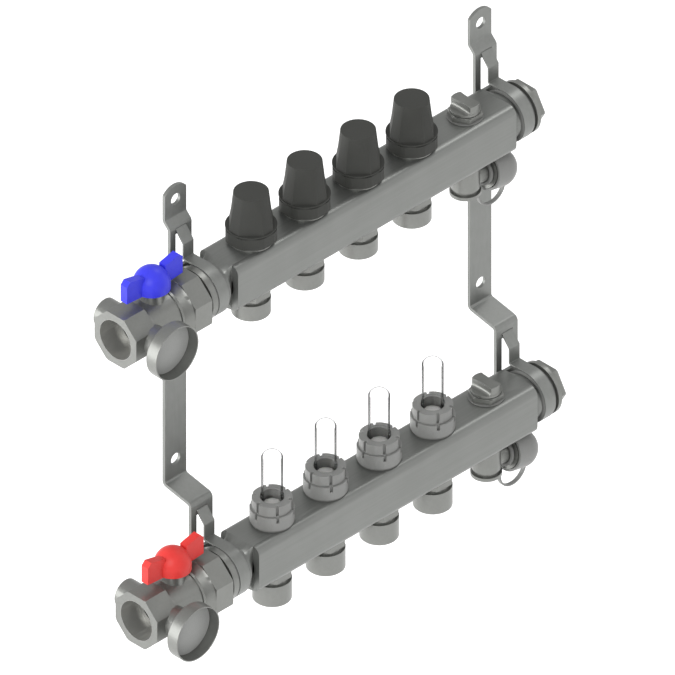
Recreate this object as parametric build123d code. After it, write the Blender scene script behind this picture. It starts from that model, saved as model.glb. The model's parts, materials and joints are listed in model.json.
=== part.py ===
from build123d import *
from math import asin, cos, pi, radians, sin, sqrt
import os

# Wall-hung floor heating manifold: two square stainless bars, the return bar above and the supply bar
# below and further out, each held by its round necks in two strap clamps on two strip brackets.
# Each bar has a ball valve with a dial thermometer on its left neck, a plug on its right neck, four
# outlets underneath, and a vent above and a drain below its last port. The return bar carries four
# shut-off valves with hand caps, the supply bar four flow meters with adjusting rings.
# X runs along the bars to the right, Y into the wall and Z up. The origin is the centre of the four
# wall screw holes, on the wall's face. Lengths are millimetres.

# Bars
CIRCUITS = 4
PITCH = 50.0
BAR_SIDE = 36.0
BAR_CORNER = 6.0
BAR_WALL = 2.0
BAR_MARGIN = 30.0
RETURN_DEPTH = 29.0
SUPPLY_DEPTH = 48.6
RETURN_HEIGHT = 45.6
BAR_DROP = 217.3

# Necks at the bars' ends
NECK_R = 16.6
NECK_BORE_R = 13.2
NECK_TAPER = 5.5
LEFT_NECK = 18.9
RIGHT_NECK = 18.2
GASKET = 0.8

# Fits and gaps
SEAT_FIT = 0.1
RUN_FIT = 0.05
AIR = 0.3

# Brackets and clamps
LEFT_CLAMP = 13.9
RIGHT_CLAMP = 11.1
STRIP_WIDTH = 20.0
STRIP = 2.5
SCREW_SPACING = 210.0
SCREW_HOLE_R = 4.25
TAB_ABOVE_SCREW = 6.5
CROWN_R = 13.0
JOG_START = 45.6
JOG_END = 40.6
CLAMP_FACE = 21.5
DROP_SLOPE = 4.9
STRIP_TAIL = 42.0
STRIP_BEND = 3.0
STRAP_WIDTH = 9.4
STRAP = 1.2
LINER = 1.4
LINER_WIDTH = 11.0
LINER_LIP = 0.85
TONGUE_Y = 15.0
TONGUE_KNEE = 30.8
HOOK_Z = 39.2
HOOK_LENGTH = 6.0
STRAP_BEND = 1.4
SLOT_HEIGHT = 32.0

# Outlets
OUTLET_HOLE_R = 9.6
OUTLET_HEX = 23.0
OUTLET_HEX_HEIGHT = 7.5
OUTLET_GROOVE_R = 11.5
OUTLET_GROOVE = 2.0
OUTLET_R = 13.25
RETURN_OUTLET_THREAD = 12.0
SUPPLY_OUTLET_THREAD = 16.0
OUTLET_BORE_R = 9.0
OUTLET_CONE_R = 11.0
OUTLET_CONE = 6.0
SEAT_RISE = 4.45
SEAT_BORE_R = 7.0

# Shut-off valves and hand caps on the return bar
INSERT_HOLE_R = 10.1
BARREL_DEPTH = 8.0
INSERT_FLANGE_R = 15.0
INSERT_FLANGE = 2.3
INSERT_THREAD_R = 14.9
GLAND_R = 8.0
GLAND_TOP = 14.0
PIN_R = 2.5
PLUNGER_R = 8.6
PLUNGER = 3.0
THREAD_PITCH = 1.5
CAP_TURNS = 1.5
CAP_SHUT_GAP = 0.55
CAP_BASE_R = 17.65
CAP_BASE_FLAT = 17.05
CAP_FLATS = 8
CAP_BASE = 8.5
CAP_GROOVE_R = 16.9
CAP_GROOVE = 0.7
CAP_LIP_R = 17.4
CAP_LIP = 0.9
CAP_BODY = 26.1
CAP_BODY_R = 16.8
CAP_NARROW = 15.5
CAP_TOP_R = 11.9
CAP_BORE_R = 15.2
CAP_ROOM_R = 11.0
CAP_CEILING = 15.2

# Flow meters on the supply bar
METER_GASKET_R = 14.5
METER_GASKET = 1.5
METER_BASE_R = 15.05
METER_BASE = 10.0
METER_RING_R = 13.6
METER_RING = 7.6
METER_SOCKET_R = 10.3
METER_SOCKET = 5.5
METER_SLOTS = 6
METER_SLOT_WIDTH = 2.0
METER_SLOT_DEPTH = 2.2
METER_SLOT_DROP = 4.0
GLASS_BORE_R = 8.15
GLASS_FLOOR = 0.4
GLASS_FOOT_R = 7.75
GLASS_FOOT = 9.0
GLASS_R = 7.25
GLASS_HEIGHT = 44.3
GLASS_WALL = 0.7
GLASS_DOME = 5.0
FLOAT_R = 6.0
FLOAT = 1.2
ROD_R = 1.5
PLATE = 1.2

# Vents above the bars
VENT_HOLE_R = 8.1
VENT_WASHER_R = 12.4
VENT_WASHER = 1.0
VENT_HEX = 21.0
VENT_HEX_HEIGHT = 3.4
VENT_PLATE_R = 10.84
VENT_PLATE = 0.6
VENT_STEM_R = 3.0
VENT_SPIGOT = 4.0
KEY_DISC_R = 10.3
KEY_DISC = 1.8
KEY_BOW_R = 10.1
KEY_BOW_END = 4.25
KEY_BOW_WAIST = 3.0
KEY_BOW = 5.8

# Drains below the bars
DRAIN_COLLAR_R = 10.8
DRAIN_COLLAR = 2.3
DRAIN_SPIGOT_R = 8.0
DRAIN_STEM_R = 6.0
DRAIN_SLEEVE_R = 9.8
DRAIN_SLEEVE = 18.3
DRAIN_GROOVE_R = 8.6
DRAIN_GROOVE = 2.6
DRAIN_FLANGE_R = 10.6
DRAIN_FLANGE = 2.5
DRAIN_BORE_R = 3.0
SPOUT_DROP = 14.0
SPOUT_TILT = 12.0
SPOUT_R = 6.75
SPOUT_BORE_R = 4.0
SPOUT_THREAD_R = 11.5
SPOUT_NECK = 18.0
SPOUT_THREAD = 10.0
DRAIN_CAP_R = 13.5
DRAIN_CAP_FACE = 19.0
DRAIN_CAP_SKIRT = 11.3
LOOP_R = 9.1
LOOP = 2.0
LOOP_AT = 15.5
TETHER_WIDTH = 3.0
TETHER = 1.2
TETHER_R = 11.9
TETHER_X = 23.8
TETHER_Z = 52.0
TETHER_START = 150.0

# Ball valves on the left necks
VALVE_REACH = 43.2
INLET_FLAT = 39.0
INLET_FACE = 33.9
INLET_LENGTH = 19.2
INLET_BORE_R = 14.5
INLET_BORE = 17.0
SHELL_R = 18.3
SHELL_RING_R = 19.0
SHELL_RING = 2.0
SHELL_END = 12.6
SHELL_THREAD_R = 17.4
SHELL_THREAD = 12.0
NUT_FLAT = 45.0
NUT_START = 18.6
NUT_LENGTH = 15.7
NUT_WEB = 4.0
NUT_BEVEL = 0.5
TAIL_R = 15.0
TAIL_HEAD_R = 17.0
TAIL_HEAD = 3.0
COLLAR_R = 19.4
COLLAR = 4.9
TAIL_SPIGOT = 9.0
BALL_R = 16.0
FLOW_R = 11.0
SEAT_R = 14.8
SEAT_LENGTH = 9.0
SEAT_END = 15.0
STEM_R = 4.5
STEM_BOSS_R = 8.5
STEM_BOSS_TOP = 25.4
TANG_WIDTH = 5.0
TANG_LENGTH = 9.0
TANG_FLOOR = 13.0
SHANK = 6.2
SHANK_TOP = 36.0
SIDE_BOSS_X = 16.0
SIDE_BOSS_R = 10.4
SIDE_BOSS_REACH = 28.0

# Handles
DOME_R = 12.7
DOME_SKIRT = 3.6
WING_SPAN = 52.0
WING_THICK = 6.0
WING_BOTTOM = 25.0
WING_HEIGHT = 14.5
WING_RISE = 3.0
WING_LIFT = 1.3
WING_BEVEL = 3.0
WING_ROOT = 10.0

# Thermometers
DIAL_CUP_R = 20.0
DIAL_CUP = 10.0
DIAL_CUP_WALL = 0.9
DIAL_CUP_FLOOR = 1.1
DIAL_CUP_BEVEL = 1.0
DIAL_NECK_R = 8.0
DIAL_NECK = 2.0
DIAL_STEM_R = 4.0
DIAL_STEM = 9.0
DIAL = 0.6

# End plugs
PLUG_FLANGE_R = 19.0
PLUG_FLANGE = 3.1
PLUG_HEX = 30.0
PLUG_HEX_LENGTH = 5.6
PLUG_SPIGOT = 8.0
PLUG_WALL = 2.5
HEX_BEVEL = 0.5

# Places along a bar, from the axis of its first port
HALF = BAR_SIDE / 2
LEFT_END = -BAR_MARGIN
SERVICE_X = CIRCUITS * PITCH
RIGHT_END = SERVICE_X + BAR_MARGIN
PORTS = [PITCH * number for number in range(CIRCUITS)]
CLAMP_XS = [LEFT_END - LEFT_CLAMP, RIGHT_END + RIGHT_CLAMP]
VALVE_X = LEFT_END - LEFT_NECK - GASKET - VALVE_REACH
PLUG_X = RIGHT_END + RIGHT_NECK + GASKET
MIDDLE_X = (CLAMP_XS[0] + CLAMP_XS[1]) / 2

# Heights of the return valve's stack above the bar's axis
VALVE_LIFT = THREAD_PITCH * CAP_TURNS
SEAT_Z = SEAT_RISE - HALF
CAP_Z = HALF + VALVE_LIFT + CAP_SHUT_GAP
CAP_STEP_Z = CAP_Z + CAP_BASE
CAP_BODY_Z = CAP_STEP_Z + CAP_GROOVE + CAP_LIP
PIN_TOP = CAP_Z + CAP_CEILING

# Heights of the drain's swivelling sleeve
SLEEVE_TOP = -HALF - DRAIN_COLLAR - SEAT_FIT
SLEEVE_END = SLEEVE_TOP - DRAIN_SLEEVE + SEAT_FIT

# Heights of the flow meter's stack
METER_Z = HALF + METER_GASKET
METER_TOP = METER_Z + METER_BASE
GLASS_Z = METER_TOP + AIR + GLASS_FLOOR

# The bars' own frames in the manifold's frame
RETURN = Pos(-MIDDLE_X, -RETURN_DEPTH, RETURN_HEIGHT)
SUPPLY = Pos(-MIDDLE_X, -SUPPLY_DEPTH, RETURN_HEIGHT - BAR_DROP)
BARS = [RETURN, SUPPLY]
TO_RIGHT = Rot(0, 90, 0)
SPOUT_AXIS = Pos(0, 0, -HALF - SPOUT_DROP) * Rot(0, 90 + SPOUT_TILT, 0)
TO_LEFT = Rot(0, -90, 0)
TO_FRONT = Rot(90, 0, 0)


def disc(radius, bottom, top):
    """Upright cylinder on the Z axis between two heights."""
    return Pos(0, 0, (bottom + top) / 2) * Cylinder(radius, top - bottom)


def ring(outer, inner, bottom, top):
    """Upright ring on the Z axis between two heights."""
    return disc(outer, bottom, top) - disc(inner, bottom, top)


def turned(*points):
    """Solid turned about Z from a closed outline of (radius, height) points."""
    return revolve(Plane.XZ * make_face(Polyline(*points, close=True)), Axis.Z)


def polygon_bar(flats, sides, bottom, top, bevel):
    """Upright polygon bar with a flat towards +X, its corners turned off at both ends."""
    outline = Rot(0, 0, 180 / sides) * RegularPolygon(flats / 2, sides, major_radius=False)
    corner = flats / 2 / cos(pi / sides)
    envelope = turned((0, bottom), (corner - bevel, bottom), (corner, bottom + bevel),
                      (corner, top - bevel), (corner - bevel, top), (0, top))
    return extrude(Plane.XY.offset(bottom) * outline, top - bottom) & envelope


def row(shape, places):
    """Copies of one solid at several places, kept as separate solids."""
    return Compound(children=[place * shape for place in places])


def square_stock(side, corner, left, right):
    """Square bar with rounded edges along X."""
    return extrude(Plane.YZ.offset(left) * RectangleRounded(side, side, corner), right - left)


def neck(length):
    """Round neck that tapers out of the flat part of an end plate, along +Z."""
    flat = Rectangle(BAR_SIDE, BAR_SIDE - 2 * BAR_CORNER)
    taper = loft([flat, Plane.XY.offset(NECK_TAPER) * Circle(NECK_R)])
    return taper + disc(NECK_R, NECK_TAPER, length)


def bar():
    """Hollow bar with end plates, necks, and holes for the inserts, outlets, vent and drain."""
    solid = square_stock(BAR_SIDE, BAR_CORNER, LEFT_END, RIGHT_END)
    solid += Pos(LEFT_END, 0, 0) * TO_LEFT * neck(LEFT_NECK)
    solid += Pos(RIGHT_END, 0, 0) * TO_RIGHT * neck(RIGHT_NECK)
    solid -= square_stock(BAR_SIDE - 2 * BAR_WALL, BAR_CORNER - BAR_WALL,
                          LEFT_END + BAR_WALL, RIGHT_END - BAR_WALL)
    solid -= TO_RIGHT * disc(NECK_BORE_R, LEFT_END - LEFT_NECK, RIGHT_END + RIGHT_NECK)
    for x in PORTS:
        solid -= Pos(x, 0, 0) * disc(INSERT_HOLE_R, 0, HALF)
        solid -= Pos(x, 0, 0) * disc(OUTLET_HOLE_R, -HALF, 0)
    solid -= Pos(SERVICE_X, 0, 0) * disc(VENT_HOLE_R, 0, HALF)
    return solid - Pos(SERVICE_X, 0, 0) * disc(DRAIN_SPIGOT_R + SEAT_FIT, -HALF, 0)


def outlet(thread):
    """Outlet under the bar: valve seat inside, hexagon, undercut and coned thread of this length."""
    hex_z = -HALF - OUTLET_HEX_HEIGHT
    thread_z = hex_z - OUTLET_GROOVE
    end = thread_z - thread
    solid = disc(OUTLET_HOLE_R - SEAT_FIT, -HALF, SEAT_Z)
    solid += polygon_bar(OUTLET_HEX, 6, hex_z, -HALF, HEX_BEVEL)
    solid += disc(OUTLET_GROOVE_R, thread_z, hex_z)
    solid += turned((0, end), (OUTLET_R - HEX_BEVEL, end), (OUTLET_R, end + HEX_BEVEL),
                    (OUTLET_R, thread_z), (0, thread_z))
    solid -= disc(SEAT_BORE_R, -HALF, SEAT_Z)
    solid -= disc(OUTLET_BORE_R, end, -HALF)
    return solid - turned((0, end), (OUTLET_CONE_R, end), (OUTLET_BORE_R, end + OUTLET_CONE),
                          (0, end + OUTLET_CONE))


def valve_insert():
    """Shut-off valve insert: barrel, flange, cap thread and gland, bored for the pin."""
    flange_top = HALF + INSERT_FLANGE
    thread_top = CAP_STEP_Z - VALVE_LIFT - AIR
    solid = disc(INSERT_HOLE_R - SEAT_FIT, HALF - BARREL_DEPTH, HALF)
    solid += disc(INSERT_FLANGE_R, HALF, flange_top)
    solid += disc(INSERT_THREAD_R, flange_top, thread_top)
    solid += disc(GLAND_R, thread_top, HALF + GLAND_TOP)
    return solid - disc(PIN_R + RUN_FIT, HALF - BARREL_DEPTH, HALF + GLAND_TOP)


def valve_pin():
    """Valve pin with its plunger, open: one lift and a small gap above the seat."""
    plunger_z = SEAT_Z + AIR + VALVE_LIFT
    return disc(PLUNGER_R, plunger_z, plunger_z + PLUNGER) + disc(PIN_R, plunger_z + PLUNGER, PIN_TOP)


def on_circle(radius, degrees):
    """Point of a circle about the origin."""
    return radius * cos(radians(degrees)), radius * sin(radians(degrees))


def cap_body():
    """Tapering body of the hand cap: eight-sided below with corners beside X and Y, round above."""
    feet = [quarter * 90 + side * CAP_NARROW for quarter in range(4) for side in (-1, 1)]
    below = make_face(Polyline(*[on_circle(CAP_BODY_R, foot) for foot in feet], close=True))
    step = 360 / len(feet)
    arcs = [ThreePointArc(*[on_circle(CAP_TOP_R, (number + share) * step) for share in (-0.5, 0, 0.5)])
            for number in range(len(feet))]
    above = make_face(Curve() + arcs)
    return loft([Plane.XY.offset(CAP_BODY_Z) * below, Plane.XY.offset(CAP_BODY_Z + CAP_BODY) * above],
                ruled=True)


def manual_cap():
    """Hand cap: flatted base ring, groove, lip and a tapering body, hollow below."""
    flats = Rot(0, 0, 180 / CAP_FLATS) * RegularPolygon(CAP_BASE_FLAT, CAP_FLATS, major_radius=False)
    base = extrude(Plane.XY.offset(CAP_Z) * (Circle(CAP_BASE_R) & flats), CAP_BASE)
    groove_top = CAP_STEP_Z + CAP_GROOVE
    solid = base + disc(CAP_GROOVE_R, CAP_STEP_Z, groove_top)
    solid += disc(CAP_LIP_R, groove_top, CAP_BODY_Z)
    solid += cap_body()
    solid -= disc(CAP_BORE_R, CAP_Z, CAP_STEP_Z)
    return solid - disc(CAP_ROOM_R, CAP_STEP_Z, PIN_TOP)


def slots(outer, bottom, top):
    """Narrow upright cutters that notch a ring of this outer radius."""
    cutter = Pos(outer, 0, (bottom + top) / 2) * Box(2 * METER_SLOT_DEPTH, METER_SLOT_WIDTH, top - bottom)
    return [Rot(0, 0, 360 / METER_SLOTS * number) * cutter for number in range(METER_SLOTS)]


def flow_insert():
    """Flow meter's fixed base: barrel, notched ring and the socket of the adjusting ring."""
    solid = disc(INSERT_HOLE_R - SEAT_FIT, HALF - BARREL_DEPTH, METER_Z)
    solid += disc(METER_BASE_R, METER_Z, METER_TOP)
    solid -= disc(METER_SOCKET_R, METER_TOP - METER_SOCKET, METER_TOP)
    solid -= disc(ROD_R + AIR, HALF - BARREL_DEPTH, METER_TOP)
    return solid - slots(METER_BASE_R, METER_TOP - METER_SLOT_DROP, METER_TOP)


def flow_adjuster():
    """Flow meter's adjusting ring with the spigot that turns in the base's socket."""
    ring_z = METER_TOP + AIR
    spigot_z = METER_TOP - METER_SOCKET + AIR
    solid = disc(METER_SOCKET_R - AIR, spigot_z, ring_z) + disc(METER_RING_R, ring_z, ring_z + METER_RING)
    solid -= disc(GLASS_BORE_R, GLASS_Z, ring_z + METER_RING)
    solid -= disc(ROD_R + AIR, spigot_z, GLASS_Z)
    return solid - slots(METER_RING_R, GLASS_Z, ring_z + METER_RING)


def glass_shell(foot_r, body_r, bottom, shoulder, top, dome):
    """Round-topped cylinder with a wider foot."""
    sides = Polyline((0, top), (0, bottom), (foot_r, bottom), (foot_r, shoulder),
                     (body_r, shoulder + foot_r - body_r), (body_r, top - dome))
    ball_r = (body_r ** 2 + dome ** 2) / (2 * dome)
    halfway = asin(body_r / ball_r) / 2
    on_crown = (ball_r * sin(halfway), top - ball_r + ball_r * cos(halfway))
    crown = ThreePointArc((body_r, top - dome), on_crown, (0, top))
    return revolve(Plane.XZ * make_face(sides + crown), Axis.Z)


def sight_glass():
    """Clear tube of the flow meter, closed by a dome and open below."""
    top = GLASS_Z + GLASS_HEIGHT
    inner_r = GLASS_R - GLASS_WALL
    outside = glass_shell(GLASS_FOOT_R, GLASS_R, GLASS_Z, GLASS_Z + GLASS_FOOT, top, GLASS_DOME)
    inside = disc(inner_r, GLASS_Z, top - GLASS_DOME)
    return outside - inside


def flow_indicator():
    """Flow meter's float, rod and flow plate, resting just above the seat."""
    plate_z = SEAT_Z + AIR
    float_z = GLASS_Z + AIR
    solid = disc(PLUNGER_R, plate_z, plate_z + PLATE)
    solid += disc(ROD_R, plate_z + PLATE, float_z)
    return solid + disc(FLOAT_R, float_z, float_z + FLOAT)


def vent_body():
    """Vent screwed into the top of the bar, above its washer."""
    hex_z = HALF + VENT_WASHER
    plate_z = hex_z + VENT_HEX_HEIGHT
    bottom = HALF - BAR_WALL - VENT_SPIGOT
    solid = disc(VENT_HOLE_R - SEAT_FIT, bottom, hex_z)
    solid += polygon_bar(VENT_HEX, 6, hex_z, plate_z, HEX_BEVEL)
    solid += disc(VENT_PLATE_R, plate_z, plate_z + VENT_PLATE)
    solid -= disc(VENT_STEM_R + RUN_FIT, bottom + BAR_WALL, plate_z + VENT_PLATE)
    return solid - disc(VENT_STEM_R / 2, bottom, bottom + BAR_WALL)


def bow_outline():
    """Bow-tie outline of the vent key, long along Y, with hollow flanks and round ends."""
    end_y = sqrt(KEY_BOW_R ** 2 - KEY_BOW_END ** 2)
    outline = ThreePointArc((KEY_BOW_END, -end_y), (KEY_BOW_WAIST, 0), (KEY_BOW_END, end_y))
    outline += ThreePointArc((KEY_BOW_END, end_y), (0, KEY_BOW_R), (-KEY_BOW_END, end_y))
    outline += ThreePointArc((-KEY_BOW_END, end_y), (-KEY_BOW_WAIST, 0), (-KEY_BOW_END, -end_y))
    outline += ThreePointArc((-KEY_BOW_END, -end_y), (0, -KEY_BOW_R), (KEY_BOW_END, -end_y))
    return make_face(outline)


def vent_key():
    """Vent key: screw, round disc and bow-tie grip."""
    disc_z = HALF + VENT_WASHER + VENT_HEX_HEIGHT + VENT_PLATE + AIR
    tip = HALF - VENT_SPIGOT + AIR
    grip = extrude(Plane.XY.offset(disc_z + KEY_DISC) * bow_outline(), KEY_BOW)
    return disc(VENT_STEM_R, tip, disc_z) + disc(KEY_DISC_R, disc_z, disc_z + KEY_DISC) + grip


def drain_core():
    """Fixed stem of the drain, on which the spout's sleeve swivels."""
    groove_z = SLEEVE_END - SEAT_FIT
    flange_z = groove_z - DRAIN_GROOVE
    solid = disc(DRAIN_SPIGOT_R, -HALF, -HALF + BAR_WALL + SEAT_FIT)
    solid += disc(DRAIN_COLLAR_R, SLEEVE_TOP + SEAT_FIT, -HALF)
    solid += disc(DRAIN_STEM_R, groove_z, SLEEVE_TOP + SEAT_FIT)
    solid += disc(DRAIN_GROOVE_R, flange_z, groove_z)
    solid += disc(DRAIN_FLANGE_R, flange_z - DRAIN_FLANGE, flange_z)
    solid -= disc(DRAIN_BORE_R, -HALF - SPOUT_DROP, -HALF + BAR_WALL + SEAT_FIT)
    return solid - Pos(0, 0, -HALF - SPOUT_DROP) * TO_RIGHT * disc(DRAIN_BORE_R, 0, DRAIN_SLEEVE_R)


def drain_spout():
    """Swivelling sleeve of the drain with its tilted, threaded spout."""
    end = SPOUT_NECK + SPOUT_THREAD
    solid = disc(DRAIN_SLEEVE_R, SLEEVE_END, SLEEVE_TOP)
    solid += SPOUT_AXIS * disc(SPOUT_R, 0, SPOUT_NECK)
    solid += SPOUT_AXIS * disc(SPOUT_THREAD_R, SPOUT_NECK, end)
    solid -= SPOUT_AXIS * disc(SPOUT_BORE_R, 0, end)
    solid -= disc(DRAIN_STEM_R + RUN_FIT, SLEEVE_END, SLEEVE_TOP)
    return solid - disc(DRAIN_FLANGE_R + AIR, SLEEVE_END - DRAIN_SLEEVE, SLEEVE_END)


def tether():
    """Flat strap that hangs in a loop between the spout's ring and the cap."""
    centre = (TETHER_X, -TETHER_Z)
    curve = CenterArc(centre, TETHER_R, TETHER_START, 360 - TETHER_START)
    start = curve @ 0
    end = curve @ 1
    ring_place = SPOUT_AXIS * Pos((SPOUT_R + AIR + LOOP_R) / 2, 0, LOOP_AT + LOOP / 2)
    ring_point = (ring_place.position.X, ring_place.position.Z)
    cap_z = -HALF - SPOUT_DROP - DRAIN_CAP_R
    path = Line(ring_point, start) + curve + Line(end, (end.X, cap_z))
    return extrude(Plane.XZ * trace(path, TETHER), TETHER_WIDTH / 2, both=True)


def drain_cap():
    """Round-ended drain cap moulded in one with its tether and the ring round the spout."""
    sphere_at = DRAIN_CAP_FACE + DRAIN_CAP_SKIRT
    thread_end = SPOUT_NECK + SPOUT_THREAD
    outer_half = disc(DRAIN_CAP_R, sphere_at, sphere_at + DRAIN_CAP_R)
    cap = disc(DRAIN_CAP_R, DRAIN_CAP_FACE, sphere_at)
    cap += Pos(0, 0, sphere_at) * Sphere(DRAIN_CAP_R) & outer_half
    loop = ring(LOOP_R, SPOUT_R + AIR, LOOP_AT, LOOP_AT + LOOP)
    room = disc(SPOUT_THREAD_R + AIR, DRAIN_CAP_FACE, thread_end + AIR)
    solid = SPOUT_AXIS * cap + SPOUT_AXIS * loop + tether()
    return solid - SPOUT_AXIS * room - SPOUT_AXIS * disc(SPOUT_R + AIR, LOOP_AT, DRAIN_CAP_FACE)


def ball_room():
    """Room of the ball along Z: round in the middle, straight in the pockets of the two seats."""
    pocket_r = SEAT_R + SEAT_FIT
    room_r = BALL_R + AIR
    join = sqrt(room_r ** 2 - pocket_r ** 2)
    outline = Polyline((pocket_r, join), (pocket_r, SEAT_END), (0, SEAT_END), (0, -SEAT_END),
                       (pocket_r, -SEAT_END), (pocket_r, -join))
    outline += ThreePointArc((pocket_r, -join), (room_r, 0), (pocket_r, join))
    return revolve(Plane.XZ * make_face(outline), Axis.Z)


def valve_body():
    """Ball valve's shell about its stem axis: inlet octagon, barrel, stem boss and side bosses."""
    inlet_end = INLET_LENGTH - INLET_FACE
    solid = TO_RIGHT * polygon_bar(INLET_FLAT, 8, -INLET_FACE, inlet_end, NUT_BEVEL)
    solid += TO_RIGHT * disc(SHELL_RING_R, inlet_end, inlet_end + SHELL_RING)
    solid += TO_RIGHT * disc(SHELL_R, inlet_end + SHELL_RING, SHELL_END - SHELL_RING)
    solid += TO_RIGHT * disc(SHELL_RING_R, SHELL_END - SHELL_RING, SHELL_END)
    solid += TO_RIGHT * disc(SHELL_THREAD_R, SHELL_END, SHELL_END + SHELL_THREAD)
    solid += disc(STEM_BOSS_R, 0, STEM_BOSS_TOP)
    solid += Pos(-SIDE_BOSS_X, 0, 0) * TO_FRONT * disc(SIDE_BOSS_R, -SIDE_BOSS_REACH, SIDE_BOSS_REACH)
    solid -= TO_RIGHT * disc(INLET_BORE_R, -INLET_FACE, INLET_BORE - INLET_FACE)
    solid -= TO_RIGHT * disc(FLOW_R, INLET_BORE - INLET_FACE, SHELL_END + SHELL_THREAD)
    solid -= TO_RIGHT * ball_room()
    solid -= disc(STEM_R + RUN_FIT, 0, STEM_BOSS_TOP)
    pocket = disc(DIAL_STEM_R + SEAT_FIT, SIDE_BOSS_REACH - DIAL_STEM - AIR, SIDE_BOSS_REACH)
    return solid - Pos(-SIDE_BOSS_X, 0, 0) * TO_FRONT * pocket


def union_nut():
    """Union nut that draws the tail to the valve: cone, octagon and inner web."""
    end = NUT_START + NUT_LENGTH
    web = end - NUT_WEB
    solid = polygon_bar(NUT_FLAT, 8, NUT_START, end, NUT_BEVEL)
    solid += turned((0, SHELL_END), (SHELL_RING_R, SHELL_END), (NUT_FLAT / 2, NUT_START), (0, NUT_START))
    solid -= disc(SHELL_THREAD_R + SEAT_FIT, SHELL_END, web)
    return TO_RIGHT * (solid - disc(TAIL_R + SEAT_FIT, web, end))


def union_tail():
    """Tail from the union nut into the bar's neck, with its outer collar."""
    web = NUT_START + NUT_LENGTH - NUT_WEB
    collar_z = VALVE_REACH - COLLAR
    solid = disc(TAIL_HEAD_R, web - TAIL_HEAD, web) + disc(TAIL_R, web, collar_z)
    solid += disc(COLLAR_R, collar_z, VALVE_REACH)
    solid += disc(NECK_BORE_R - SEAT_FIT, VALVE_REACH, VALVE_REACH + TAIL_SPIGOT)
    return TO_RIGHT * (solid - disc(FLOW_R, web - TAIL_HEAD, VALVE_REACH + TAIL_SPIGOT))


def valve_seat():
    """Soft ring that seals the ball, on the +X side."""
    blank = TO_RIGHT * ring(SEAT_R, FLOW_R, SEAT_END - SEAT_LENGTH, SEAT_END)
    return blank - Sphere(BALL_R + SEAT_FIT)


def ball():
    """Ball with its flow bore and the slot of the stem's tang."""
    solid = Sphere(BALL_R) - TO_RIGHT * disc(FLOW_R, -BALL_R, BALL_R)
    slot = Pos(0, 0, (TANG_FLOOR + BALL_R) / 2) * Box(2 * BALL_R, TANG_WIDTH, BALL_R - TANG_FLOOR)
    return solid - slot


def stem():
    """Stem from the ball's slot to the handle, with a tang below and a square above."""
    tang_end = BALL_R + AIR
    tang = Pos(0, 0, (TANG_FLOOR + AIR + tang_end) / 2) * Box(
        TANG_LENGTH, TANG_WIDTH - 2 * SEAT_FIT, tang_end - TANG_FLOOR - AIR)
    solid = (tang & disc(STEM_R, 0, tang_end)) + disc(STEM_R, tang_end, STEM_BOSS_TOP)
    return solid + Pos(0, 0, (STEM_BOSS_TOP + SHANK_TOP) / 2) * Box(SHANK, SHANK, SHANK_TOP - STEM_BOSS_TOP)


def handle():
    """Valve handle: round dome on a skirt, with a wing on each side that rises to its tip."""
    bottom = STEM_BOSS_TOP + AIR
    dome_z = bottom + DOME_SKIRT
    half_space = Pos(0, 0, dome_z + DOME_R / 2) * Box(2 * DOME_R, 2 * DOME_R, DOME_R)
    solid = disc(DOME_R, bottom, dome_z) + (Pos(0, 0, dome_z) * Sphere(DOME_R) & half_space)
    tip = WING_SPAN / 2
    top = WING_BOTTOM + WING_HEIGHT
    outline = make_face(Polyline((WING_ROOT, WING_BOTTOM), (tip, WING_BOTTOM + WING_LIFT),
                                 (tip, top + WING_RISE - WING_BEVEL), (tip - WING_BEVEL, top + WING_RISE),
                                 (WING_ROOT, top), close=True))
    wing = extrude(Plane.XZ * outline, WING_THICK / 2, both=True)
    solid += wing + Rot(0, 0, 180) * wing
    hole = SHANK + 2 * SEAT_FIT
    return solid - Pos(0, 0, (bottom + SHANK_TOP + AIR) / 2) * Box(hole, hole, SHANK_TOP + AIR - bottom)


def thermometer():
    """Thermometer's open cup with its neck and stem, facing along +Z."""
    back = SIDE_BOSS_REACH + DIAL_NECK
    front = back + DIAL_CUP
    cup = turned((0, back), (DIAL_CUP_R - DIAL_CUP_BEVEL, back), (DIAL_CUP_R, back + DIAL_CUP_BEVEL),
                 (DIAL_CUP_R, front), (DIAL_CUP_R - DIAL_CUP_WALL, front),
                 (DIAL_CUP_R - DIAL_CUP_WALL, back + DIAL_CUP_FLOOR), (0, back + DIAL_CUP_FLOOR))
    return cup + disc(DIAL_NECK_R, SIDE_BOSS_REACH, back) + disc(
        DIAL_STEM_R, SIDE_BOSS_REACH - DIAL_STEM, SIDE_BOSS_REACH)


def dial():
    """Blank dial plate on the floor of the thermometer's cup."""
    floor = SIDE_BOSS_REACH + DIAL_NECK + DIAL_CUP_FLOOR
    return disc(DIAL_CUP_R - DIAL_CUP_WALL - SEAT_FIT, floor, floor + DIAL)


def end_plug():
    """Plug that closes a bar's right neck: spigot, flange and hexagon."""
    solid = disc(NECK_BORE_R - SEAT_FIT, -PLUG_SPIGOT, 0)
    solid += disc(PLUG_FLANGE_R, 0, PLUG_FLANGE)
    solid += polygon_bar(PLUG_HEX, 6, PLUG_FLANGE, PLUG_FLANGE + PLUG_HEX_LENGTH, HEX_BEVEL)
    return TO_RIGHT * (solid - disc(NECK_BORE_R - PLUG_WALL, -PLUG_SPIGOT, PLUG_FLANGE - PLUG_WALL))


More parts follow.
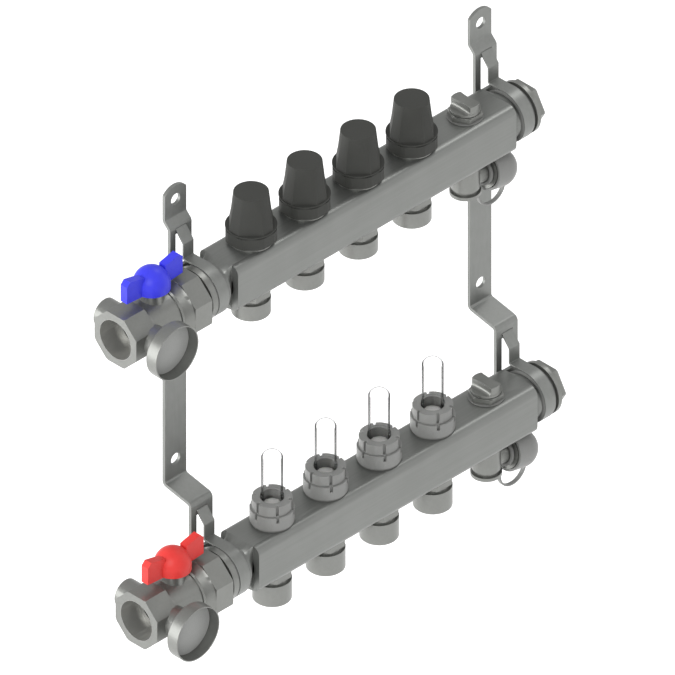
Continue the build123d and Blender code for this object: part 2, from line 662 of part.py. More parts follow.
def clamp_strap():
    """Strap round the neck: half circle in front, flat top and bottom, and a hook at each end."""
    middle_r = NECK_R + RUN_FIT + LINER + RUN_FIT + STRAP / 2
    hook_y = CLAMP_FACE + STRIP + SEAT_FIT + STRAP / 2
    knee_y = CLAMP_FACE + STRAP / 3
    path = FilletPolyline((hook_y, HOOK_Z - HOOK_LENGTH), (hook_y, HOOK_Z), (knee_y, HOOK_Z),
                          (TONGUE_Y, TONGUE_KNEE), (TONGUE_Y, middle_r), (0, middle_r),
                          radius=STRAP_BEND - STRAP / 2)
    front = Pos(-NECK_R, 0) * Rectangle(2 * NECK_R, 4 * NECK_R)
    band = (Circle(middle_r + STRAP / 2) - Circle(middle_r - STRAP / 2)) & front
    arm = trace(path, STRAP)
    outline = band + arm + mirror(arm, Plane.XZ)
    return extrude(Plane.YZ * outline, STRAP_WIDTH / 2, both=True)


def clamp_liner():
    """Rubber liner between neck and strap, with side lips and a foot against the bracket."""
    inner = NECK_R + RUN_FIT
    outer = inner + LINER
    groove = STRAP_WIDTH / 2 + SEAT_FIT
    half = LINER_WIDTH / 2
    solid = ring(outer, inner, -half, half)
    solid += ring(outer + LINER_LIP, inner, groove, half) + ring(outer + LINER_LIP, inner, -half, -groove)
    foot = Pos((NECK_R + CLAMP_FACE) / 2, 0, 0) * Box(CLAMP_FACE - NECK_R, STRAP_WIDTH, LINER_WIDTH)
    solid += foot - disc(inner, -half, half)
    return Rot(0, 0, 90) * solid


def bracket(side):
    """Strip bracket: crowned tab, two offset clamp seats with hook slots, and two screw holes."""
    wall = -STRIP / 2
    upper = CLAMP_FACE + STRIP / 2 - RETURN_DEPTH
    lower = CLAMP_FACE + STRIP / 2 - SUPPLY_DEPTH
    supply_z = RETURN_HEIGHT - BAR_DROP
    top = SCREW_SPACING / 2 + TAB_ABOVE_SCREW + CROWN_R - sqrt(CROWN_R ** 2 - (STRIP_WIDTH / 2) ** 2)
    path = FilletPolyline((wall, top), (wall, RETURN_HEIGHT + JOG_START), (upper, RETURN_HEIGHT + JOG_END),
                          (upper, RETURN_HEIGHT - JOG_END), (wall, RETURN_HEIGHT - JOG_START),
                          (wall, supply_z + JOG_START + DROP_SLOPE), (lower, supply_z + JOG_START),
                          (lower, supply_z - STRIP_TAIL), radius=STRIP_BEND)
    strip = extrude(Plane.YZ * trace(path, STRIP), STRIP_WIDTH / 2, both=True)
    corners = Pos(0, 0, top) * Box(2 * STRIP_WIDTH, 4 * STRIP, 2 * CROWN_R)
    strip -= corners - Pos(0, 0, top - CROWN_R) * TO_FRONT * Cylinder(CROWN_R, 8 * STRIP)
    for z in (-SCREW_SPACING / 2, SCREW_SPACING / 2):
        strip -= Pos(0, 0, z) * TO_FRONT * Cylinder(SCREW_HOLE_R, 4 * STRIP)
    slot = Box(STRAP_WIDTH + 2 * AIR, 2 * STRIP, SLOT_HEIGHT)
    slot_z = HOOK_Z + STRAP / 2 + AIR - SLOT_HEIGHT / 2
    for y, z in ((upper, RETURN_HEIGHT), (lower, supply_z)):
        strip -= Pos(0, y, z + slot_z) * slot + Pos(0, y, z - slot_z) * slot
    return Pos(side * (CLAMP_XS[1] - CLAMP_XS[0]) / 2, 0, 0) * strip


def gaskets():
    """Rubber rings under the flow meters and vents and in the neck joints."""
    joint = TO_RIGHT * ring(NECK_R, NECK_BORE_R, 0, GASKET)
    washer = ring(VENT_WASHER_R, VENT_HOLE_R, HALF, HALF + VENT_WASHER)
    meter = ring(METER_GASKET_R, INSERT_HOLE_R, HALF, METER_Z)
    rings = []
    for place in BARS:
        rings.append(place * Pos(LEFT_END - LEFT_NECK - GASKET, 0, 0) * joint)
        rings.append(place * Pos(RIGHT_END + RIGHT_NECK, 0, 0) * joint)
        rings.append(place * Pos(SERVICE_X, 0, 0) * washer)
    rings += [SUPPLY * Pos(x, 0, 0) * meter for x in PORTS]
    return Compound(children=rings)


def shared_nodes():
    """Nodes that hold one copy per bar, clamp or port."""
    valves = [place * Pos(VALVE_X, 0, 0) for place in BARS]
    dials = [valve * Pos(-SIDE_BOSS_X, 0, 0) * TO_FRONT for valve in valves]
    clamps = [place * Pos(x, 0, 0) for place in BARS for x in CLAMP_XS]
    sides = [Rot(0, 0, 0), Rot(0, 0, 180)]
    return {
        "return_outlets": row(outlet(RETURN_OUTLET_THREAD), [RETURN * Pos(x, 0, 0) for x in PORTS]),
        "supply_outlets": row(outlet(SUPPLY_OUTLET_THREAD), [SUPPLY * Pos(x, 0, 0) for x in PORTS]),
        "vent_bodies": row(vent_body(), [place * Pos(SERVICE_X, 0, 0) for place in BARS]),
        "end_plugs": row(end_plug(), [place * Pos(PLUG_X, 0, 0) for place in BARS]),
        "union_nuts": row(union_nut(), valves),
        "union_tails": row(union_tail(), valves),
        "valve_seats": row(valve_seat(), [valve * side for valve in valves for side in sides]),
        "thermometers": row(thermometer(), dials),
        "thermometer_dials": row(dial(), dials),
        "clamp_straps": row(clamp_strap(), clamps),
        "clamp_liners": row(TO_RIGHT * clamp_liner(), clamps),
        "gaskets": gaskets(),
        "left_bracket": bracket(-1),
        "right_bracket": bracket(1),
    }


def bar_nodes(name, place):
    """Nodes that each bar has once: the bar, its ball valve, vent key and drain."""
    valve = place * Pos(VALVE_X, 0, 0)
    service = place * Pos(SERVICE_X, 0, 0)
    return {
        name + "_bar": place * bar(),
        name + "_valve_body": valve * valve_body(),
        name + "_ball": valve * ball(),
        name + "_stem": valve * stem(),
        name + "_handle": valve * handle(),
        name + "_vent_key": service * vent_key(),
        name + "_drain_core": service * drain_core(),
        name + "_drain_spout": service * drain_spout(),
        name + "_drain_cap": service * drain_cap(),
    }


def port_nodes():
    """Nodes that each circuit has: its return valve and its flow meter."""
    shapes = {
        "valve_insert": (RETURN, valve_insert()),
        "valve_pin": (RETURN, valve_pin()),
        "manual_cap": (RETURN, manual_cap()),
        "flow_insert": (SUPPLY, flow_insert()),
        "flow_adjuster": (SUPPLY, flow_adjuster()),
        "sight_glass": (SUPPLY, sight_glass()),
        "flow_indicator": (SUPPLY, flow_indicator()),
    }
    nodes = {}
    for number, x in enumerate(PORTS, start=1):
        for name, (place, shape) in shapes.items():
            nodes[f"{name}_{number}"] = place * Pos(x, 0, 0) * shape
    return nodes


def main():
    """Build every node and write each one to its own STEP file."""
    nodes = bar_nodes("return", RETURN) | bar_nodes("supply", SUPPLY) | port_nodes() | shared_nodes()
    os.makedirs("parts", exist_ok=True)
    for name, shape in nodes.items():
        export_step(shape, f"parts/{name}.step")


main()
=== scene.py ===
import json
from math import pi, radians, sqrt

import bmesh
import bpy
import numpy as np
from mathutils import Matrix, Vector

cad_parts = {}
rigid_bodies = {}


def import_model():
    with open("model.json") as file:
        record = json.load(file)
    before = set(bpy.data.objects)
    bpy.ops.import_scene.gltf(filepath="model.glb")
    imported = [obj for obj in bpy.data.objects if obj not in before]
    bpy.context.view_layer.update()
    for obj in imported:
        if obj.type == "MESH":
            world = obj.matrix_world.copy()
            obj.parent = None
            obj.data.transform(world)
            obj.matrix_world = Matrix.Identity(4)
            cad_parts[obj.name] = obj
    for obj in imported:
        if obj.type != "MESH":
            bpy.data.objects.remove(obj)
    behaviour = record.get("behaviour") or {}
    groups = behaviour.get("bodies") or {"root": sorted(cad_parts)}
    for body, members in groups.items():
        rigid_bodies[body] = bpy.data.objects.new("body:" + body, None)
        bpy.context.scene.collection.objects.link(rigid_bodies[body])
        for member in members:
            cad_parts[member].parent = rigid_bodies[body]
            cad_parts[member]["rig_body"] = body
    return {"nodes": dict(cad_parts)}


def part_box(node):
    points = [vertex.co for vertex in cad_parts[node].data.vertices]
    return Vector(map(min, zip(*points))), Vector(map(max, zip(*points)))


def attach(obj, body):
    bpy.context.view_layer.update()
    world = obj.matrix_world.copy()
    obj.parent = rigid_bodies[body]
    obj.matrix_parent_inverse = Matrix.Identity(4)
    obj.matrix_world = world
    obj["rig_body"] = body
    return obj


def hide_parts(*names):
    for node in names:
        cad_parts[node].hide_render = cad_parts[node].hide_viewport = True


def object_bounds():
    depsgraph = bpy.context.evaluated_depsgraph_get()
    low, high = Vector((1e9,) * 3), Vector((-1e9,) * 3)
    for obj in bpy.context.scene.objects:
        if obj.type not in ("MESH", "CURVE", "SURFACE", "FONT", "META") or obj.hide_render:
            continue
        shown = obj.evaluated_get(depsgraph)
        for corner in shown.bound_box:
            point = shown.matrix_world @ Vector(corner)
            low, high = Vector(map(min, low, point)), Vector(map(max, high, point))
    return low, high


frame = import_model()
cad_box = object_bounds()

# The view. The manifold is seen from the front left and from above, isometric and without
# perspective. LOOK_AT is the point behind the picture's middle, in metres in the manifold's frame.
LOOK_AT = (-0.0179, -0.0290, -0.0561)
VIEW_WIDTH = 0.4458
VIEW_DISTANCE = 2.0

camera_data = bpy.data.cameras.new("camera")
camera_data.type = "ORTHO"
camera_data.ortho_scale = VIEW_WIDTH
camera = bpy.data.objects.new("camera", camera_data)
camera.location = [c + d * VIEW_DISTANCE / sqrt(3) for c, d in zip(LOOK_AT, (-1, -1, 1))]
camera.rotation_euler = (radians(90) - np.arcsin(1 / sqrt(3)), 0, radians(-45))
bpy.context.scene.collection.objects.link(camera)
bpy.context.scene.camera = camera
bpy.context.scene.view_settings.view_transform = "Standard"


# The studio. A plain white floor lies well below the hung part, under a pale grey ceiling, and four
# soft lamps light it. Camera, reflections and the clear tubes see the same floor and ceiling.
FLOOR_DROP = 0.25
FLOOR_HALF = 8.0
CEILING = 0.70
SKY_LIGHT = 0.62
WHITE = (1, 1, 1, 1)
FLOOR_TONE = (0.86, 0.86, 0.86, 1)
FLOOR_ROUGH = 0.9
FLOOR_GLOW = 0.5
LAMPS = [((-2.3, -1.1, 1.7), 1.6, 40.0),       # place and width in metres, power in watts
         ((1.9, -1.5, 0.7), 2.0, 8.0),
         ((-1.8, 0.9, -0.1), 2.0, 45.0),
         ((1.3, 0.1, 1.9), 0.7, 8.0)]


def place(tree, kind, values=None, **settings):
    """A shader node with its settings made first, and then its inputs linked or set."""
    made = tree.nodes.new(kind)
    for name, value in settings.items():
        setattr(made, name, value)
    for key, value in (values or {}).items():
        if isinstance(value, bpy.types.NodeSocket):
            tree.links.new(value, made.inputs[key])
        else:
            made.inputs[key].default_value = value
    return made


def seen_directly(tree):
    """Value that is one to camera, glossy and transmission rays and zero to all others."""
    rays = place(tree, "ShaderNodeLightPath").outputs
    seen = place(tree, "ShaderNodeMath", {0: rays["Is Camera Ray"], 1: rays["Is Glossy Ray"]},
                 operation="MAXIMUM")
    both = place(tree, "ShaderNodeMath", {0: seen.outputs[0], 1: rays["Is Transmission Ray"]},
                 operation="MAXIMUM")
    return both.outputs[0]


world = bpy.data.worlds.new("studio")
world.use_nodes = True
bpy.context.scene.world = world
sky = world.node_tree
sky.nodes.clear()
sky_dim = place(sky, "ShaderNodeBackground", {"Color": WHITE, "Strength": SKY_LIGHT})
sky_pale = place(sky, "ShaderNodeBackground", {"Color": WHITE, "Strength": CEILING})
sky_mix = place(sky, "ShaderNodeMixShader",
                {0: seen_directly(sky), 1: sky_dim.outputs[0], 2: sky_pale.outputs[0]})
place(sky, "ShaderNodeOutputWorld", {"Surface": sky_mix.outputs[0]})

for number, (spot, width, power) in enumerate(LAMPS):
    lamp = bpy.data.lights.new(f"lamp_{number}", "AREA")
    lamp.size = width
    lamp.energy = power
    holder = bpy.data.objects.new(f"lamp_{number}", lamp)
    holder.location = spot
    aim = np.array(LOOK_AT) - np.array(spot)
    tip_back = np.arctan2(np.hypot(aim[0], aim[1]), -aim[2])
    holder.rotation_euler = (tip_back, 0, np.arctan2(aim[1], aim[0]) - pi / 2)
    bpy.context.scene.collection.objects.link(holder)

floor_paint = bpy.data.materials.new("floor")
floor_paint.use_nodes = True
floor_tree = floor_paint.node_tree
floor_glow = place(floor_tree, "ShaderNodeEmission", {"Color": WHITE, "Strength": FLOOR_GLOW})
floor_coat = floor_tree.nodes["Principled BSDF"]
floor_coat.inputs["Base Color"].default_value = FLOOR_TONE
floor_coat.inputs["Roughness"].default_value = FLOOR_ROUGH
floor_mix = place(floor_tree, "ShaderNodeMixShader",
                  {0: seen_directly(floor_tree), 1: floor_coat.outputs[0]})
floor_sum = place(floor_tree, "ShaderNodeAddShader", {0: floor_coat.outputs[0], 1: floor_glow.outputs[0]})
floor_tree.links.new(floor_sum.outputs[0], floor_mix.inputs[2])
floor_tree.links.new(floor_mix.outputs[0], floor_tree.nodes["Material Output"].inputs["Surface"])
floor_mesh = bpy.data.meshes.new("floor")
floor_z = cad_box[0].z - FLOOR_DROP
corners = [(x * FLOOR_HALF, y * FLOOR_HALF, floor_z) for x, y in ((-1, -1), (1, -1), (1, 1), (-1, 1))]
floor_mesh.from_pydata(corners, [], [(0, 1, 2, 3)])
floor_mesh.materials.append(floor_paint)
floor = bpy.data.objects.new("floor", floor_mesh)
bpy.context.scene.collection.objects.link(floor)


# The bars. Square stainless steel tube, brushed along its length, with end plates and necks welded
# on. Their flat faces stay whole and every edge is eased, as on ground and polished tube.
BAR_EDGE = 0.0004
BAR_LIGHT = (0.222, 0.228, 0.218, 1)
BAR_DARK = (0.198, 0.204, 0.194, 1)
METAL_SHARE = 0.70
TONE_SPAN = (0.75, 1.25)
POLISH_SPAN = (0.7, 1.3)
RELIEF_DEPTH = 0.0002
SEAM = 1e-6
FLAT_WITHIN = 0.5
CREASE = 32


def satin_group():
    """Group for worked metal and moulded plastic: fine noise of the position times Stretch gives
    streaks or grain, a broad noise gives the mottle. Out come colour, roughness and normal."""
    group = bpy.data.node_groups.new("satin", "ShaderNodeTree")
    socket = group.interface.new_socket
    for name, kind in (("Stretch", "NodeSocketVector"), ("Light", "NodeSocketColor"),
                       ("Dark", "NodeSocketColor"), ("Smooth", "NodeSocketFloat"),
                       ("Rough", "NodeSocketFloat"), ("Relief", "NodeSocketFloat"),
                       ("Mottle", "NodeSocketFloat")):
        socket(name, in_out="INPUT", socket_type=kind)
    for name, kind in (("Color", "NodeSocketColor"), ("Roughness", "NodeSocketFloat"),
                       ("Normal", "NodeSocketVector")):
        socket(name, in_out="OUTPUT", socket_type=kind)
    given = place(group, "NodeGroupInput").outputs
    where = place(group, "ShaderNodeTexCoord").outputs["Object"]
    drawn = place(group, "ShaderNodeVectorMath", {0: where, 1: given["Stretch"]}, operation="MULTIPLY")
    streak = place(group, "ShaderNodeTexNoise", {"Vector": drawn.outputs[0], "Scale": 1.0, "Detail": 4.0})
    broad = place(group, "ShaderNodeTexNoise", {"Vector": where, "Scale": given["Mottle"], "Detail": 3.0})
    blend = place(group, "ShaderNodeMath", {0: streak.outputs["Fac"], 1: broad.outputs["Fac"]},
                  operation="ADD")
    spread = place(group, "ShaderNodeMapRange", {"Value": blend.outputs[0], "From Min": TONE_SPAN[0],
                                                 "From Max": TONE_SPAN[1]})
    tone = place(group, "ShaderNodeMix", {0: spread.outputs[0], "A": given["Dark"], "B": given["Light"]},
                 data_type="RGBA")
    polish = place(group, "ShaderNodeMapRange", {"Value": blend.outputs[0], "From Min": POLISH_SPAN[0],
                                                 "From Max": POLISH_SPAN[1],
                                                 "To Min": given["Smooth"], "To Max": given["Rough"]})
    relief = place(group, "ShaderNodeBump", {"Height": streak.outputs["Fac"], "Strength": given["Relief"],
                                             "Distance": RELIEF_DEPTH})
    place(group, "NodeGroupOutput", {"Color": tone.outputs["Result"], "Roughness": polish.outputs[0],
                                     "Normal": relief.outputs[0]})
    return group


SATIN = satin_group()


def finish_of(name, stretch, light, dark, smooth, rough, relief, mottle=40.0, **shader):
    """A material of the satin group, with the shader's other inputs set by name."""
    made = bpy.data.materials.new(name)
    made.use_nodes = True
    tree = made.node_tree
    coat = tree.nodes["Principled BSDF"]
    for key, value in shader.items():
        coat.inputs[key.replace("_", " ")].default_value = value
    satin = place(tree, "ShaderNodeGroup", node_tree=SATIN)
    for key, value in (("Stretch", stretch), ("Light", light), ("Dark", dark), ("Smooth", smooth),
                       ("Rough", rough), ("Relief", relief), ("Mottle", mottle)):
        satin.inputs[key].default_value = value
    for key, target in (("Color", "Base Color"), ("Roughness", "Roughness"), ("Normal", "Normal")):
        tree.links.new(satin.outputs[key], coat.inputs[target])
    return made


def stand_in(data, node, material):
    """Puts a mesh into the scene in a node's stead, on the node's body and in its finish."""
    piece = bpy.data.objects.new(node + "_look", data)
    bpy.context.scene.collection.objects.link(piece)
    data.materials.clear()
    data.materials.append(material)
    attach(piece, frame["nodes"][node]["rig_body"])
    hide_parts(node)
    return piece


def eased(data, node, material, edge, crease=CREASE):
    """Stand-in whose edges that bend by more than crease degrees are rounded off over the width edge,
    with smooth faces between."""
    data.shade_smooth()
    data.set_sharp_from_angle(angle=radians(crease))
    piece = stand_in(data, node, material)
    ease = piece.modifiers.new("eased edges", "BEVEL")
    ease.width = edge
    ease.segments = 2
    ease.limit_method = "ANGLE"
    ease.angle_limit = radians(crease)
    ease.harden_normals = True
    return piece


def dressed(node, material, edge, crease=CREASE, reshape=None):
    """The node's own shape with closed seams, whole flat faces and eased edges, reshaped if asked."""
    work = bmesh.new()
    work.from_mesh(frame["nodes"][node].data)
    bmesh.ops.remove_doubles(work, verts=work.verts, dist=SEAM)
    bmesh.ops.dissolve_limit(work, angle_limit=radians(FLAT_WITHIN), verts=work.verts, edges=work.edges)
    data = bpy.data.meshes.new(node + "_look")
    work.to_mesh(data)
    work.free()
    if reshape:
        reshape(data)
    return eased(data, node, material, edge, crease)


brushed = finish_of("brushed stainless", stretch=(9, 700, 700), light=BAR_LIGHT, dark=BAR_DARK,
                    smooth=0.36, rough=0.42, relief=0.03, Metallic=METAL_SHARE)
for node in ("return_bar", "supply_bar"):
    dressed(node, brushed, BAR_EDGE)


# The brackets and their clamp straps. Galvanised steel strip, bent and punched; the straps hook
# through the brackets' slots and hold the bars' necks in grey rubber liners.
STRIP_EDGE = 0.0003
ZINC_LIGHT = (0.236, 0.242, 0.232, 1)
ZINC_DARK = (0.208, 0.214, 0.204, 1)
RUBBER_LIGHT = (0.190, 0.192, 0.184, 1)
RUBBER_DARK = (0.160, 0.162, 0.156, 1)

zinc = finish_of("zinc plated strip", stretch=(420, 420, 60), light=ZINC_LIGHT, dark=ZINC_DARK,
                 smooth=0.38, rough=0.46, relief=0.04, mottle=90.0, Metallic=METAL_SHARE)
rubber = finish_of("grey rubber", stretch=(1500, 1500, 1500), light=RUBBER_LIGHT, dark=RUBBER_DARK,
                   smooth=0.62, rough=0.80, relief=0.20)
for node in ("left_bracket", "right_bracket", "clamp_straps"):
    dressed(node, zinc, STRIP_EDGE)
for node in ("clamp_liners", "gaskets"):
    dressed(node, rubber, STRIP_EDGE)


# The outlets, the vents and the other turned fittings, of nickel-plated brass. Under the bar each
# outlet has a hexagon, an undercut and a threaded spigot whose mouth is coned for the pipe adapter.
# A bar's axis is given by its depth and its height, in metres.
FITTING_EDGE = 0.0003
FIRST_PORT = -0.0986
PORT_PITCH = 0.0500
PORTS = range(1, 5)
BAR_AXES = {"return": (-0.0290, 0.0456), "supply": (-0.0486, -0.1717)}
BETWEEN_BARS = -0.06
CORNER_TURN = pi / 6
NICKEL_LIGHT = (0.228, 0.232, 0.220, 1)
NICKEL_DARK = (0.210, 0.214, 0.202, 1)
NICKEL = {"stretch": (500, 500, 500), "light": NICKEL_LIGHT, "dark": NICKEL_DARK, "smooth": 0.33,
          "rough": 0.38, "relief": 0.015, "mottle": 70.0, "Metallic": METAL_SHARE}
nickel = finish_of("nickel plated brass", **NICKEL)
TURNED = ["end_plugs", "union_nuts", "union_tails"]
TURNED += [f"{bar}_{part}" for bar in BAR_AXES for part in ("stem", "drain_core", "drain_spout")]
TURNED += [f"{part}_{number}" for part in ("valve_insert", "valve_pin") for number in PORTS]
for node in TURNED:
    dressed(node, nickel, FITTING_EDGE)


def corners_along_bar(data):
    """Turns each solid of the mesh by a twelfth of a turn about the upright axis of its port, because
    the real hexagons have their corners along the bar: the arm from the axis times the turn's matrix."""
    spots = np.empty(3 * len(data.vertices))
    data.vertices.foreach_get("co", spots)
    spots = spots.reshape(-1, 3)
    port = np.round((spots[:, 0] - FIRST_PORT) / PORT_PITCH)
    depth = np.where(spots[:, 2] > BETWEEN_BARS, BAR_AXES["return"][0], BAR_AXES["supply"][0])
    axis = np.stack([FIRST_PORT + PORT_PITCH * port, depth], axis=1)
    cosine, sine = np.cos(CORNER_TURN), np.sin(CORNER_TURN)
    spots[:, :2] = axis + (spots[:, :2] - axis) @ np.array([[cosine, sine], [-sine, cosine]])
    data.vertices.foreach_set("co", spots.ravel())


for node in ("return_outlets", "supply_outlets", "vent_bodies"):
    dressed(node, nickel, FITTING_EDGE, reshape=corners_along_bar)


# The ball valves' bodies, forged in brass, nickel-plated and machined inside. Their inlet bores are
# painted lighter than the skin: painted light, standing in for the light that the deep bores keep out.
BORE_REACH = 0.0146
# Painted light: the bores' colour, lighter than the nickel, in place of the shade inside them.
BORE_PAINTED_LIGHT = (0.44, 0.44, 0.42, 1)


def bore_light_group():
    """Group that paints light into a bore, swapping Skin for a lighter colour within Reach of the line
    along X through Axis: there the length of the position less Axis, without its X part, is smaller than
    Reach."""
    group = bpy.data.node_groups.new("painted bore light", "ShaderNodeTree")
    for name, kind in (("Skin", "NodeSocketColor"), ("Painted Light", "NodeSocketColor"),
                       ("Axis", "NodeSocketVector"), ("Reach", "NodeSocketFloat")):
        group.interface.new_socket(name, in_out="INPUT", socket_type=kind)
    group.interface.new_socket("Color", in_out="OUTPUT", socket_type="NodeSocketColor")
    given = place(group, "NodeGroupInput").outputs
    where = place(group, "ShaderNodeTexCoord").outputs["Object"]
    arm = place(group, "ShaderNodeVectorMath", {0: where, 1: given["Axis"]}, operation="SUBTRACT")
    upright = place(group, "ShaderNodeVectorMath", {0: arm.outputs[0], 1: (0, 1, 1)}, operation="MULTIPLY")
    radius = place(group, "ShaderNodeVectorMath", {0: upright.outputs[0]}, operation="LENGTH")
    inside = place(group, "ShaderNodeMath", {0: radius.outputs["Value"], 1: given["Reach"]},
                   operation="LESS_THAN")
    tone = place(group, "ShaderNodeMix", {0: inside.outputs[0], "A": given["Skin"], "B": given["Painted Light"]},
                 data_type="RGBA")
    place(group, "NodeGroupOutput", {"Color": tone.outputs["Result"]})
    return group


BORE_LIGHT_GROUP = bore_light_group()
for bar, axis in BAR_AXES.items():
    forged = finish_of(f"{bar} valve nickel", **NICKEL)
    coat = forged.node_tree.nodes["Principled BSDF"]
    bore_light = place(forged.node_tree, "ShaderNodeGroup",
                {"Skin": coat.inputs["Base Color"].links[0].from_socket, "Painted Light": BORE_PAINTED_LIGHT, "Axis": (0, *axis),
                 "Reach": BORE_REACH}, node_tree=BORE_LIGHT_GROUP)
    forged.node_tree.links.new(bore_light.outputs["Color"], coat.inputs["Base Color"])
    dressed(f"{bar}_valve_body", forged, FITTING_EDGE)


# The vents' keys, die-cast and nickel-plated: a round disc carries a bow-tie grip whose flanks run
# out onto it in a hollow, and a plain screw goes down into the vent.
KEY_SCREW_R = 0.0030
KEY_DISC_R = 0.0103
KEY_DISC = 0.0018
KEY_HEIGHT = 0.0076
KEY_END_R = 0.0101
KEY_END = 0.0045
KEY_WAIST = 0.0039
KEY_HOLLOW = 0.0022
KEY_COLUMNS = 160
KEY_ROWS = 9
KEY_CROWDING = 1.5


def key_mesh(name, centre, tip, top):
    """Grid of angle by row, closed by a pole at each end. A grip row at height h above the disc has
    half width m + k y^2 at length y, with m the waist plus the hollow's quarter circle
    a - sqrt(a^2 - (a - h)^2), so its radius at angle t is 2 m / (c + sqrt(c^2 - 4 k m s^2)) for
    c = |cos t| and s = sin t, and never more than the end's. The rows crowd towards the disc."""
    angle = np.linspace(0, 2 * pi, KEY_COLUMNS, endpoint=False)
    across, along = np.abs(np.cos(angle)), np.sin(angle)
    bend = (KEY_END - KEY_WAIST) / (KEY_END_R ** 2 - KEY_END ** 2)
    height = (KEY_HEIGHT - KEY_DISC) * np.linspace(0, 1, KEY_ROWS) ** KEY_CROWDING
    low = np.maximum(KEY_HOLLOW - height, 0)
    middle = (KEY_WAIST + KEY_HOLLOW - np.sqrt(KEY_HOLLOW ** 2 - low ** 2))[:, None]
    inside = across ** 2 - 4 * bend * middle * along ** 2
    flank = 2 * middle / (across + np.sqrt(np.maximum(inside, 0)))
    grip = np.where(inside > 0, np.minimum(flank, KEY_END_R), KEY_END_R)
    plain = np.array([KEY_SCREW_R, KEY_SCREW_R, KEY_DISC_R, KEY_DISC_R])[:, None] * np.ones(KEY_COLUMNS)
    radius = np.vstack([plain, grip])
    foot = top - KEY_HEIGHT
    level = np.concatenate([[tip, foot, foot, foot + KEY_DISC], foot + KEY_DISC + height])[:, None]
    rows = len(radius)
    points = np.stack([centre[0] + radius * np.cos(angle), centre[1] + radius * np.sin(angle),
                       level + 0 * radius], axis=-1).reshape(-1, 3)
    points = np.vstack([points, [(*centre, tip), (*centre, top)]])
    here = np.arange(KEY_COLUMNS)
    after = np.roll(here, -1)
    quads = [np.stack([r * KEY_COLUMNS + here, r * KEY_COLUMNS + after, (r + 1) * KEY_COLUMNS + after,
                       (r + 1) * KEY_COLUMNS + here], axis=1) for r in range(rows - 1)]
    last = (rows - 1) * KEY_COLUMNS
    bottom = np.stack([after, here, here * 0 + rows * KEY_COLUMNS], axis=1)
    lid = np.stack([last + here, last + after, here * 0 + rows * KEY_COLUMNS + 1], axis=1)
    data = bpy.data.meshes.new(name)
    data.from_pydata(points, [], [*np.vstack(quads).tolist(), *bottom.tolist(), *lid.tolist()])
    return data


for bar in BAR_AXES:
    low_corner, high_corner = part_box(f"{bar}_vent_key")
    centre = ((low_corner[0] + high_corner[0]) / 2, (low_corner[1] + high_corner[1]) / 2)
    key = key_mesh(f"{bar}_vent_key_look", centre, low_corner[2], high_corner[2])
    eased(key, f"{bar}_vent_key", nickel, FITTING_EDGE)


# The hand caps. Black glass-filled plastic with a fine spark-eroded grain; they screw onto the valve
# inserts and push the pins down.
CAP_EDGE = 0.0002
CAP_CREASE = 9
BLACK_LIGHT = (0.053, 0.054, 0.050, 1)
BLACK_DARK = (0.045, 0.046, 0.042, 1)
black = finish_of("black grained plastic", stretch=(2600, 2600, 2600), light=BLACK_LIGHT, dark=BLACK_DARK,
                  smooth=0.50, rough=0.62, relief=0.20, Specular_IOR_Level=0.15)
for number in PORTS:
    dressed(f"manual_cap_{number}", black, CAP_EDGE, CAP_CREASE)


# The flow meters. Grey plastic base and adjusting ring with gripping notches, a clear tube with a
# domed end, and a white float on a rod inside it. The tube's colour carries a painted dark rim: painted shade
# where its wall is seen slanting.
METER_EDGE = 0.0003
GLASS_EDGE = 0.00015
GREY_LIGHT = (0.242, 0.244, 0.236, 1)
GREY_DARK = (0.208, 0.210, 0.203, 1)
WHITE_LIGHT = (0.62, 0.62, 0.60, 1)
WHITE_DARK = (0.55, 0.55, 0.53, 1)
grey = finish_of("grey plastic", stretch=(2200, 2200, 2200), light=GREY_LIGHT, dark=GREY_DARK,
                 smooth=0.34, rough=0.48, relief=0.25)
chalk = finish_of("white plastic", stretch=(1800, 1800, 1800), light=WHITE_LIGHT, dark=WHITE_DARK,
                  smooth=0.40, rough=0.55, relief=0.10)
CLEAR_LIGHT = (0.990, 0.990, 0.990, 1)
CLEAR_DARK = (0.980, 0.980, 0.980, 1)
RIM_PAINTED_SHADE = (0.12, 0.12, 0.12, 1)
RIM_SHADE_SPAN = (0.50, 0.74)
clear = finish_of("clear plastic", stretch=(60, 60, 60), light=CLEAR_LIGHT, dark=CLEAR_DARK,
                  smooth=0.02, rough=0.04, relief=0.0, Transmission_Weight=1.0, IOR=1.04,
                  Specular_IOR_Level=0.5)
pane = clear.node_tree
# Painted shade: the tube's base colour is darkened to grey where its wall is seen slanting.
slant = place(pane, "ShaderNodeLayerWeight", {"Blend": 0.5})
rim_shade = place(pane, "ShaderNodeMapRange", {"Value": slant.outputs["Facing"], "From Min": RIM_SHADE_SPAN[0],
                                         "From Max": RIM_SHADE_SPAN[1]})
painted_rim = place(pane, "ShaderNodeMix", {0: rim_shade.outputs[0], "B": RIM_PAINTED_SHADE}, data_type="RGBA")
coat = pane.nodes["Principled BSDF"]
pane.links.new(coat.inputs["Base Color"].links[0].from_socket, painted_rim.inputs["A"])
pane.links.new(painted_rim.outputs["Result"], coat.inputs["Base Color"])
for number in PORTS:
    dressed(f"flow_insert_{number}", grey, METER_EDGE)
    dressed(f"flow_adjuster_{number}", grey, METER_EDGE)
    dressed(f"sight_glass_{number}", clear, GLASS_EDGE)
    dressed(f"flow_indicator_{number}", chalk, METER_EDGE)


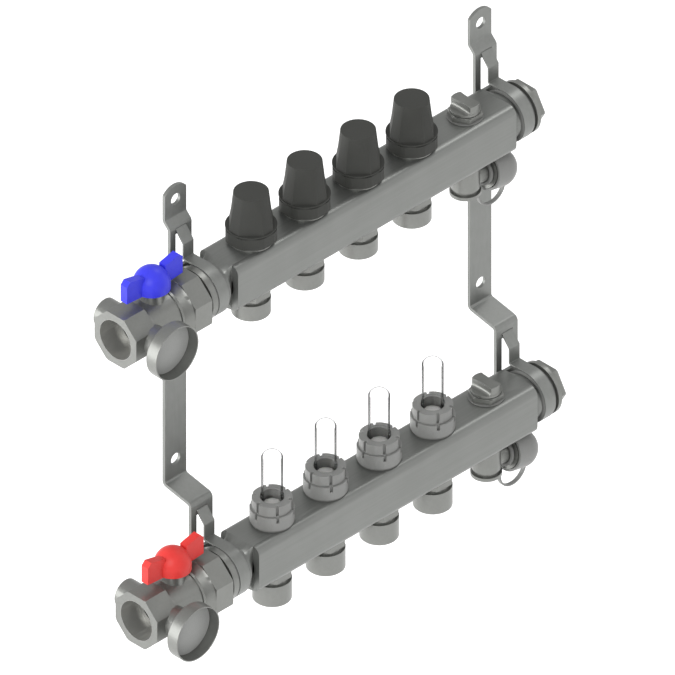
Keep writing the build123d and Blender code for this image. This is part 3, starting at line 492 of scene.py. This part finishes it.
# The drain caps. Grey plastic like the flow meters' bases, moulded in one with the tether and with
# the ring that keeps the cap on its spout.
for bar in BAR_AXES:
    dressed(f"{bar}_drain_cap", grey, METER_EDGE)


# The ball valves' handles, of smooth lacquered aluminium: blue on the return bar, red on the supply.
# Each is one casting, a dome with two wings, and sits on the square of its stem.
HANDLE_EDGE = 0.0004
BLUE_LIGHT = (0.047, 0.050, 0.74, 1)
BLUE_DARK = (0.042, 0.045, 0.70, 1)
RED_LIGHT = (0.74, 0.050, 0.045, 1)
RED_DARK = (0.70, 0.045, 0.040, 1)
LACQUERS = {"return": ("blue", BLUE_LIGHT, BLUE_DARK), "supply": ("red", RED_LIGHT, RED_DARK)}
for bar, (colour, light, dark) in LACQUERS.items():
    lacquer = finish_of(f"{colour} lacquer", stretch=(300, 300, 300), light=light, dark=dark,
                        smooth=0.34, rough=0.42, relief=0.02, Specular_IOR_Level=0.25)
    dressed(f"{bar}_handle", lacquer, HANDLE_EDGE)


# The thermometers: open cups of drawn stainless steel on the valves' side bosses, each with a blank
# dial, a disc enamelled light grey, on its floor.
DIAL_EDGE = 0.0002
DIAL_LIGHT = (0.375, 0.380, 0.370, 1)
DIAL_DARK = (0.345, 0.350, 0.340, 1)
enamel = finish_of("dial enamel", stretch=(900, 900, 900), light=DIAL_LIGHT, dark=DIAL_DARK,
                   smooth=0.42, rough=0.50, relief=0.02, Specular_IOR_Level=0.25)
dressed("thermometers", nickel, FITTING_EDGE)
dressed("thermometer_dials", enamel, DIAL_EDGE)


# The ball valves' balls, of chromed and polished brass, and their seats. The seats are white plastic
# rings on both sides of a ball.
CHROME_LIGHT = (0.62, 0.62, 0.61, 1)
CHROME_DARK = (0.58, 0.58, 0.57, 1)
chrome = finish_of("polished chrome", stretch=(200, 200, 200), light=CHROME_LIGHT, dark=CHROME_DARK,
                   smooth=0.12, rough=0.18, relief=0.005, Metallic=1.0)
for bar in BAR_AXES:
    dressed(f"{bar}_ball", chrome, FITTING_EDGE)
dressed("valve_seats", chalk, METER_EDGE)
